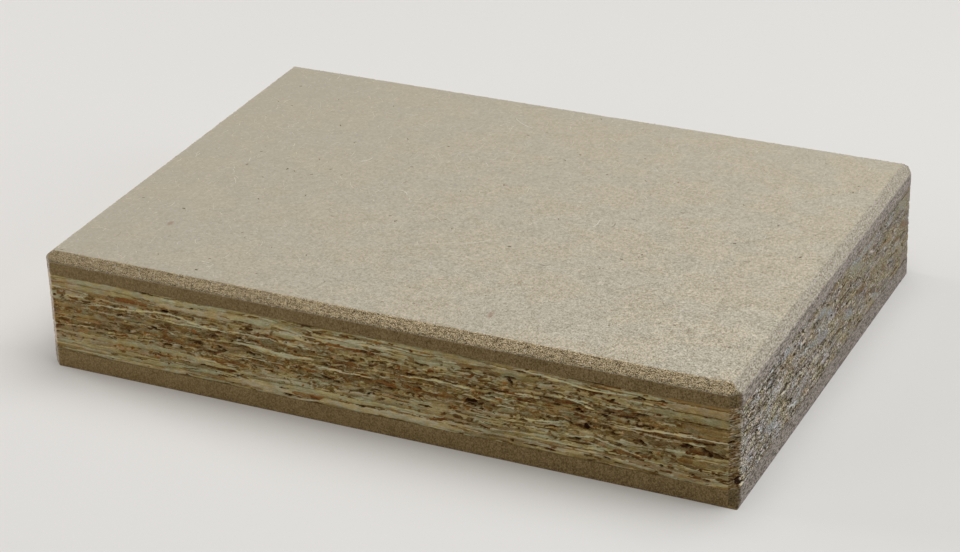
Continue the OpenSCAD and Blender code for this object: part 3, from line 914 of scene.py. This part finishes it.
def makeBoardMaterial(name, longBandLight, shortBandLight):  # how much lighter or darker its bands are painted than the top layer's: painted light and shade
    how = fibreboardColours
    material, graph = startMaterial(name)
    spot = x, y, z = inMillimetres(graph)
    bevelled, upright, endCut = graph.split(pointAttribute(graph, "cut")["Vector"])
    share = endShare(endCut, x)
    toRight = x * 0.00045     # the long sides' cuts are rougher towards the right and darker there, painted shade where the light falls off, the short sides' rougher towards the front
    nearer = 1.1 - y * 0.004  # the short sides' rougher towards the front
    grainy = (1 + x * 0.008) * (1 - y * 0.0075) * 0.47
    fine = graph.noise(spot, scale=1.1, detail=3, roughness=0.75)
    finest = graph.noise(spot, scale=2.6)
    longGrains = (graph.grain(spot, (3.6, 5.2, 5.2), detail=3, roughness=0.8) * 0.8
                  + graph.grain(spot, (0.6, 2.0, 2.0), roughness=0.7) * 0.2)
    shortGrains = graph.grain(spot, (3.0, 1.2, 3.0), roughness=0.7)
    clouds = graph.grain(spot, (0.12, 0.16, 1), detail=3, roughness=0.6)
    tints = graph.grain(spot, (0.05, 0.06, 1), 30, detail=5, roughness=0.6)
    sawn = graph.grain(spot, (2.7, 2.7, 2.2), roughness=0.7)
    marks = graph.noise((x * 0.25 + z * 0.1, y * 0.25, z * 0.2), detail=3, roughness=0.6)
    torn = graph.grain(spot, (0.9, 0.9, 3.0), detail=3, roughness=0.7)
    corner = cornerShare(endCut, (torn - 0.5) * 0.6)
    # painted shade on the corner bevels at the right, deeper on the lower layer
    shadedRightCorner = corner * x.rise(-10, 10)
    rightCornerShade = 0.4 - z.rise(10, 25) * 0.22

    def grained(name, share):
        dark, pale = how[name]
        return graph.blend(share, fromScreen(*dark), fromScreen(*pale))

    def mark(colour, share, name):
        return graph.blend(share, colour, fromScreen(*how[name]))

    # the face, with faint fibres in three directions
    finer = (0.35 + x * 0.002 - y * 0.002).atLeast(0)
    faceShare = fine * (1 - finer) + finest * finer
    face = grained("face", (0.5 + (faceShare * 0.9 + clouds * 0.1 - 0.5) * grainy).rise(0.28, 0.72))
    face = graph.tint(tints.rise(0.41, 0.58) * (x * 0.003 + 1), face, how["warm"])
    face = graph.dim(face, 1 + toRight)
    for turn in how["fibreTurns"]:
        along, across = x * math.cos(turn) + y * math.sin(turn), y * math.cos(turn) - x * math.sin(turn)
        lines = graph.noise((along * 0.35, across * 2.6, turn * 10))
        face = mark(face, lines.rise(0.60, 0.72) * 0.35, "fibre")
    face = mark(face, graph.noise((x, y, 70), scale=0.9, detail=1).rise(0.74, 0.80) * 0.5, "fleck")
    for midX, midY, halfWide, halfLong in how["smudges"]:
        away = ((x - midX) / halfWide) ** 2 + ((y - midY) / halfLong) ** 2 + (fine - 0.5) * 2
        face = mark(face, (1 - away).rise(0, 1) * 0.65, "smudge")

    # the bevel: its arris is soft, so it has a painted highlight along its upper edge and painted shade
    # along its lower edge, and painted shade towards the right
    longEdge = grained("longBevel", (0.5 + (longGrains - 0.5) * (1 + toRight * 13)).rise(0.42, 0.638))
    # painted glints on the long bevels, brighter towards the right
    glints = graph.grain(spot, (3.5, 4.2, 4.2), 20, detail=1).rise(0.62, 0.70)
    longEdge = mark(longEdge, glints * (x * 0.004 + 0.5), "glint")
    lower = 1 - z.rise(33.4, 34.2)
    upper = z.rise(35.7, 36.0)
    shadeToRight = (x - 30).atLeast(0) * 0.0014
    longEdge = graph.dim(longEdge, 1 + upper * 0.1 - lower * 0.18 - shadeToRight)
    shortEdge = grained("shortBevel",
                        (0.5 + (shortGrains * 0.5 + torn * 0.5 - 0.5) * nearer).rise(0.32, 0.68))

    # the upright bands
    rougher = 0.85 + toRight * 5
    sawnShare = (0.5 + (sawn * 0.85 + marks * 0.15 - 0.5) * rougher
                 + corner * sawChatter(graph, x, y, z))
    # the long bands painted darker towards the right and on the right corner bevels, as shade
    longBand = graph.dim(grained("longBand", sawnShare.rise(0.24, 0.76)),
                         (0.965 - toRight * 1.6) * (1 - shadedRightCorner * rightCornerShade) * longBandLight)
    shortBand = graph.dim(grained("shortBand", (0.5 + (torn - 0.5) * nearer).rise(0.3, 0.7)), shortBandLight)

    colour = graph.blend(bevelled, face, graph.blend(share, longEdge, shortEdge))
    colour = graph.blend(upright, colour, graph.blend(share, longBand, shortBand))
    endMaterial(graph, colour, 0.88, fine * 0.5 + longGrains * (bevelled + 0.3), 0.15)
    return material


# The two fibreboard layers: rings of points swept round the outline and closed by flat caps

boardLayers = {
    "bandStep": 0.36,         # mm between rings on the upright sides
    "bevelStep": 0.24,        # mm between rings down the bevel
    "bandWear": 0.04,         # mm that the cut's roughness goes in
    "bevelWear": 0.12,
    "arrisWear": 0.20,
    "wearGrain": 1.7,         # how fine the roughness is, per mm
    "chipGrain": 0.6,
    "faceDrop": 0.06,         # mm that the loose fibres stand above the face
    "faceRings": [(0.3, 0.05), (1.0, 0.0)],  # mm inside the bevel, and mm of wear there
    "footRings": [1.0, 0.05],          # mm inside the outline, under the board
    "uncutCorner": (0.95, 0.85, 0.3),  # how full the front right corner is on the lowest rings
}
faceHeight = boardTop - boardLayers["faceDrop"] * mm


def sweptLayer(name, rings, spacing):
    corners, cuts, wears, faces = [], [], [], []
    for inset, height, bevelled, upright, wear, uncut in rings:
        ring = outlineAt(inset, spacing, uncut)
        corners += [(point.x, point.y, height) for point in ring]
        cuts += [(bevelled, upright, point.endCut) for point in ring]
        wears += [wear for point in ring]
    count = len(ring)
    for level in range(len(rings) - 1):
        for column in range(count):
            here, ahead = level * count + column, level * count + (column + 1) % count
            faces.append((here, ahead, ahead + count, here + count))
    faces.append(list(reversed(range(count))))
    faces.append([len(corners) - count + column for column in range(count)])
    return newPiece(name, corners, faces, cut=cuts, wear=wears)


def steps(start, end, step):  # evenly spaced values from start to end
    count = max(1, round(abs(end - start) / step))
    return [start + (end - start) * index / count for index in range(count + 1)]


def topRings():  # inset, height, bevelled, upright, wear, uncut corner
    rings = [(0, height, 0, 1, boardLayers["bandWear"], 0)
             for height in steps(topLow.z, shoulder, boardLayers["bandStep"] * mm)[:-1]]
    for inset in steps(0, topBevel, boardLayers["bevelStep"] * mm):
        wear = boardLayers["arrisWear" if inset in (0, topBevel) else "bevelWear"]
        rings.append((inset, min(shoulder + inset, faceHeight), 1, 0, wear, 0))
    return rings + [(topBevel + inset * mm, faceHeight, 0, 0, wear, 0)
                    for inset, wear in boardLayers["faceRings"]]


def bottomRings():  # the bevel at the front right corner stops short of the underside
    full = boardLayers["uncutCorner"]
    rings = [(inset * mm, bottomLow.z, 0, 0, 0, full[0]) for inset in boardLayers["footRings"]]
    for number, height in enumerate(steps(bottomLow.z, bottomHigh.z, boardLayers["bandStep"] * mm)):
        uncut = full[number] if number < len(full) else 0
        rings.append((0, height, 0, 1, boardLayers["bandWear"], uncut))
    return rings


def buildWearGraph():  # roughens a layer by moving its points inwards
    graph, given = geometryGraph("wearLayer", Float=["Grain", "Chip"], Material=["Material"])
    spot = [part / mm for part in graph.place()]
    grain = graph.noise(spot, scale=given["Grain"], detail=3, roughness=0.6)
    chips = graph.noise(spot, scale=given["Chip"]).rise(0.52, 0.70)
    depth = graph.read("wear") * (grain + chips)
    inward = graph.scaled(graph.add("GeometryNodeInputNormal")["Normal"], depth * -mm)
    shadeToRight = graph.move(given["Geometry"], inward)
    x, y, z = graph.place()
    graph.finish(graph.putAt(shadeToRight, x, y, z.atLeast(0)))  # nothing hangs below the underside
    return graph


# Loose fibres on the top face and the bevels

looseFibres = {
    "faceDensity": 0.10,      # per square mm
    "bevelDensity": 0.8,
    "shortest": 0.8,          # mm
    "longest": 4.5,
    "width": 0.16,            # mm
    "seed": 7,
    "margin": 0.8,            # mm kept clear along the face's edges
    "tones": [(0.0, (76, 57, 38)), (0.3, (142, 124, 98)), (0.5, (186, 177, 158)), (1.0, (230, 225, 212))],
}


def makeFibreMaterial():
    material, graph = startMaterial("loose_fibres")
    tone = pointAttribute(graph, "tone")["Fac"]
    grain = graph.noise(inMillimetres(graph), scale=1.5)
    colour = graph.ramp(tone + (grain - 0.5) * 0.3, looseFibres["tones"])
    endMaterial(graph, colour, 0.8, grain, 0.05)
    return material

# fibres that stand out: x and y in mm from the middle of the board, direction in degrees, length in mm,
# width against the usual one, tone from 0, dark, to 1, pale, and bend
placedFibres = [
    (30.8, -29.0, 20, 3.0, 1.2, 0.1, 0.8), (38.9, 1.4, 85, 3.0, 1.1, 0.1, 0.4),
    (16.9, -22.0, 10, 0.9, 3.0, 0.05, 0), (-20.3, -19.2, 40, 0.9, 3.0, 0.05, 0),
    (-81.4, -34.7, 0, 0.9, 3.0, 0.05, 0),
    (-66.5, 0.9, 80, 0.9, 3.0, 0.05, 0), (74.7, 3.4, 20, 0.9, 3.0, 0.05, 0),
    (94.6, 2.0, 60, 0.9, 3.0, 0.05, 0),
    (49.0, -17.6, 0, 0.9, 3.0, 0.05, 0), (94.7, -54.7, 30, 0.9, 3.0, 0.05, 0),
    (-58.0, -68.0, 0, 0.9, 3.0, 0.05, 0),
    (82.0, -6.0, 30, 2.4, 1.2, 0.15, 1.6),
    (5.5, -24.0, 30, 12.0, 1.8, 1.05, 0.5), (34.0, 0.8, 90, 5.4, 1.7, 1.05, 0.2),
    (49.0, 8.0, 40, 4.0, 1.9, 1.1, 0.5),
    (11.5, -42.5, 0, 4.0, 1.8, 1.05, 1.4), (-49.6, 51.0, 10, 4.0, 1.8, 1.05, 0.6),
    (-14.5, 57.5, -32, 9.0, 1.7, 1.05, 0.3), (77.4, -40.0, 20, 4.0, 1.9, 1.1, 0.5),
    (-47.0, 15.5, 60, 4.0, 1.8, 1.05, 0.5), (-26.6, -0.7, 150, 4.0, 1.8, 1.05, 0.6),
    (-58.0, -63.0, 0, 2.5, 4.0, 0.9, 0.2), (-55.5, -64.5, 70, 2.5, 2.0, 0.9, 0.6),
]


def layPlacedFibres():
    return newPiece(
        "top_fibres", [(x * mm, y * mm, faceHeight) for x, y, *rest in placedFibres], [],
        shape=[(length, width, bend) for x, y, direction, length, width, tone, bend in placedFibres],
        turn=[math.radians(direction) for x, y, direction, *rest in placedFibres],
        tone=[tone for *rest, tone, bend in placedFibres])


def buildFibreGraph():
    graph, given = geometryGraph(
        "scatterFibres", Object=["Layer"], Vector=["Box"], Int=["Seed"], Material=["Material"],
        Float=["Face Density", "Bevel Density", "Shortest", "Longest", "Width", "Length", "Breadth",
               "Height"])

    # one straight fibre, 1 long and 1 wide, bent after it is placed
    fibre = graph.add("GeometryNodeMeshLine", {"Count": 6, "Start Location": (-0.5, 0, 0),
                                               "Offset": (0.5, 0, 0)}, mode="END_POINTS")["Mesh"]
    x, y, z = graph.place()
    fibre = graph.add("GeometryNodeMeshToCurve", {"Mesh": fibre})["Curve"]
    profile = graph.add("GeometryNodeCurvePrimitiveCircle", {"Resolution": 3, "Radius": 0.5})["Curve"]
    taper = ((1 - abs(x) * 2) * 4).atMost(1).atLeast(0.15)
    fibre = graph.add("GeometryNodeSetCurveRadius", {"Curve": fibre, "Radius": taper})["Curve"]
    fibre = graph.add("GeometryNodeCurveToMesh",
                      {"Curve": fibre, "Profile Curve": profile, "Fill Caps": True})["Mesh"]
    fibre = graph.store(fibre, "local", graph.add("GeometryNodeInputPosition")["Position"], "FLOAT_VECTOR")

    # the face's fibres lie flat on it
    lying = graph.add("GeometryNodeDistributePointsOnFaces", {
        "Mesh": graph.grid(given["Length"], given["Breadth"], 2, 2), "Density": given["Face Density"],
        "Seed": given["Seed"]})["Points"]
    lying = graph.move(lying, graph.vector(0, 0, given["Height"]))
    dark = (graph.chance(5) - 0.96).rise(0, 0.01)
    length = given["Shortest"] + (given["Longest"] - given["Shortest"]) * graph.chance(1) ** 2.2 * (1 - dark)
    shape = graph.vector(length, graph.chance(2, 0.5, 1.3) * (1 + dark), graph.chance(3, -0.5, 0.5))
    lying = graph.store(lying, "shape", shape, "FLOAT_VECTOR")
    lying = graph.store(lying, "turn", graph.chance(4, 0.0, 2 * math.pi))
    tone = graph.chance(6, 0.5, 0.9) * (1 - dark) + graph.chance(7, 0.0, 0.3) * dark
    lying = graph.store(lying, "tone", tone)
    flat = graph.copies(graph.join(given["Geometry"], lying), fibre, graph.turned(0, 0, graph.read("turn")))

    # the bevel's stand out of it in any direction
    bevelled, upright, endCut = graph.split(graph.read("cut", "FLOAT_VECTOR"))
    torn = graph.add("GeometryNodeDistributePointsOnFaces", {
        "Mesh": graph.shapeOf(given["Layer"]), "Density": given["Bevel Density"], "Seed": given["Seed"],
        "Selection": bevelled.math("GREATER_THAN", 0.98)})
    shape = graph.vector(graph.chance(8, 0.3, 0.9), graph.chance(9, 0.7, 1.4), graph.chance(10, -1.0, 1.0))
    points = graph.store(torn["Points"], "shape", shape, "FLOAT_VECTOR")
    points = graph.store(points, "tone", graph.chance(11, 0.25, 0.9))
    spun = graph.add("FunctionNodeRotateRotation", {
        "Rotation": torn["Rotation"],
        "Rotate By": graph.turned(0, graph.chance(12, -0.35, 0.35), graph.chance(13, 0.0, 6.28))},
        rotation_space="LOCAL")["Rotation"]
    every = graph.join(flat, graph.copies(points, fibre, spun))

    length, width, bend = graph.split(graph.read("shape", "FLOAT_VECTOR"))
    every = graph.real(graph.add("GeometryNodeScaleInstances", {
        "Instances": every, "Scale": graph.vector(length * mm, width * given["Width"] * mm,
                                                  given["Width"] * mm * 0.5)})["Instances"])
    localX, localY, localZ = graph.split(graph.read("local", "FLOAT_VECTOR"))
    turn = graph.read("turn")
    bow = (localX ** 2 - 0.08) * bend * length * mm
    every = graph.move(every, graph.vector(bow * (0 - turn.math("SINE")), bow * turn.math("COSINE"), 0))
    x, y, z = graph.place()
    boxX, boxY, boxZ = graph.split(given["Box"])
    graph.finish(graph.putAt(every, x.atMost(boxX).atLeast(0 - boxX), y.atMost(boxY).atLeast(0 - boxY),
                             z.atMost(boxZ)))
    return graph


# Floor and light

studio = {
    "floor": (0.785, 0.785, 0.785, 1),
    "backdrop": (0.75, 0.745, 0.735, 1),  # what the camera sees far out on the floor and past it
    "fade": (0.25, 1.0),                  # m squared from the middle where the floor turns into it
    "air": 0.14,                          # light from all round
    "airColour": (1.0, 0.97, 0.90, 1),
    "lamps": {                            # place in m, size in m, watts, colour
        "top_light": ((0.30, 0.20, 1.25), 1.2, 13.9, (1.0, 0.98, 0.95)),
        "front_light": ((-0.80, -1.05, 0.40), 0.8, 2.5, (1.0, 0.94, 0.84)),
        "left_light": ((-1.25, 0.05, 0.30), 0.7, 9.0, (1.0, 0.96, 0.95)),
        "right_light": ((1.20, 0.20, 0.50), 0.8, 3.0, (0.88, 0.94, 1.0)),
    },
}


def layFloor():
    floor = bpy.data.objects.new("floor", bpy.data.meshes.new("floor"))
    floor.data.from_pydata([(-6, -6, 0), (6, -6, 0), (6, 6, 0), (-6, 6, 0)], [], [(0, 1, 2, 3)])
    bpy.context.scene.collection.objects.link(floor)
    material, graph = startMaterial("floor")
    shader = graph.add("ShaderNodeBsdfPrincipled", {"Base Color": studio["floor"], "Roughness": 0.9,
                                                    "Specular IOR Level": 0.1})["BSDF"]
    x, y, z = graph.split(graph.add("ShaderNodeTexCoord")["Object"])
    seen = graph.add("ShaderNodeLightPath")["Is Camera Ray"]
    plain = graph.add("ShaderNodeEmission", {"Color": studio["backdrop"], "Strength": 1.0})["Emission"]
    far = (x ** 2 + y ** 2).rise(*studio["fade"])
    mixed = graph.add("ShaderNodeMixShader", {0: far * seen, 1: shader, 2: plain})["Shader"]
    graph.add("ShaderNodeOutputMaterial", {"Surface": mixed})
    floor.data.materials.append(material)


def makeWorld():
    world = bpy.data.worlds.new("studio")
    bpy.context.scene.world = world
    world.use_nodes = True
    world.node_tree.nodes.clear()
    graph = Graph(world.node_tree)
    seen = graph.add("ShaderNodeLightPath")["Is Camera Ray"]
    air, backdrop = (
        graph.add("ShaderNodeBackground", {"Color": colour, "Strength": strength})["Background"]
        for colour, strength in [(studio["airColour"], studio["air"]), (studio["backdrop"], 1.0)])
    mixed = graph.add("ShaderNodeMixShader", {0: seen, 1: air, 2: backdrop})["Shader"]
    graph.add("ShaderNodeOutputWorld", {"Surface": mixed})


def hangLamps():
    for name, (place, size, power, colour) in studio["lamps"].items():
        lamp = bpy.data.objects.new(name, bpy.data.lights.new(name, "AREA"))
        bpy.context.scene.collection.objects.link(lamp)
        lamp.data.shape, lamp.data.size = "SQUARE", size
        lamp.data.energy, lamp.data.color = power, colour
        lamp.location = place
        lamp.rotation_euler = Vector(place).to_track_quat("Z", "Y").to_euler()


layFloor()
makeWorld()
hangLamps()
bpy.context.scene.view_settings.view_transform = "Standard"
print("studio lit")

strandLay = layStrands()
print(f"strands laid: {len(strandLay.data.polygons)} faces")
skinGraph = buildSkinGraph()
strandMaterial = makeStrandMaterial()
for name, (start, length, runs, fray, ridges) in coreSides["sides"].items():
    wedge = coreWedge(name, start - bevelSide / 2, start + length + bevelSide / 2, ridges)
    giveNodes(wedge, skinGraph, {
        "Strands": strandLay, "Outline": outlineLength, "Core Height": coreHeight / mm,
        "Grain": coreSides["grain"], "Edge Round": coreSides["edgeRound"],
        "Empty Depth": coreSides["emptyDepth"], "Fray Along": coreSides[fray][0],
        "Fray Across": coreSides[fray][1], "Material": strandMaterial})
    finishPiece(settle(wedge), "strand_core")
bpy.data.objects.remove(strandLay)

wearGraph = buildWearGraph()
for name, node, rings, spacing, bandLights in [  # spacing of the rings' points in mm, and the bands' painted light: the lower layer's long bands painted lighter against the floor's shadow, its short bands darker
        ("top_layer", "top_fibreboard", topRings(), 0.34, (1.0, 1.0)),
        ("bottom_layer", "bottom_fibreboard", bottomRings(), 0.5, (1.15, 0.88))]:
    layer = sweptLayer(name, rings, spacing)
    giveNodes(layer, wearGraph, {"Grain": boardLayers["wearGrain"], "Chip": boardLayers["chipGrain"],
                                 "Material": makeBoardMaterial(name + "_board", *bandLights)})
    finishPiece(settle(layer), node)

fibres = layPlacedFibres()
giveNodes(fibres, buildFibreGraph(), {
    "Layer": bpy.data.objects["top_layer"], "Face Density": looseFibres["faceDensity"] / mm ** 2,
    "Bevel Density": looseFibres["bevelDensity"] / mm ** 2, "Shortest": looseFibres["shortest"],
    "Longest": looseFibres["longest"], "Width": looseFibres["width"],
    "Length": 2 * (halfLength - topBevel - looseFibres["margin"] * mm),
    "Breadth": 2 * (halfWidth - topBevel - looseFibres["margin"] * mm), "Height": faceHeight,
    "Box": (halfLength, halfWidth, boardTop), "Seed": looseFibres["seed"], "Material": makeFibreMaterial()})
finishPiece(settle(fibres), "top_fibreboard")
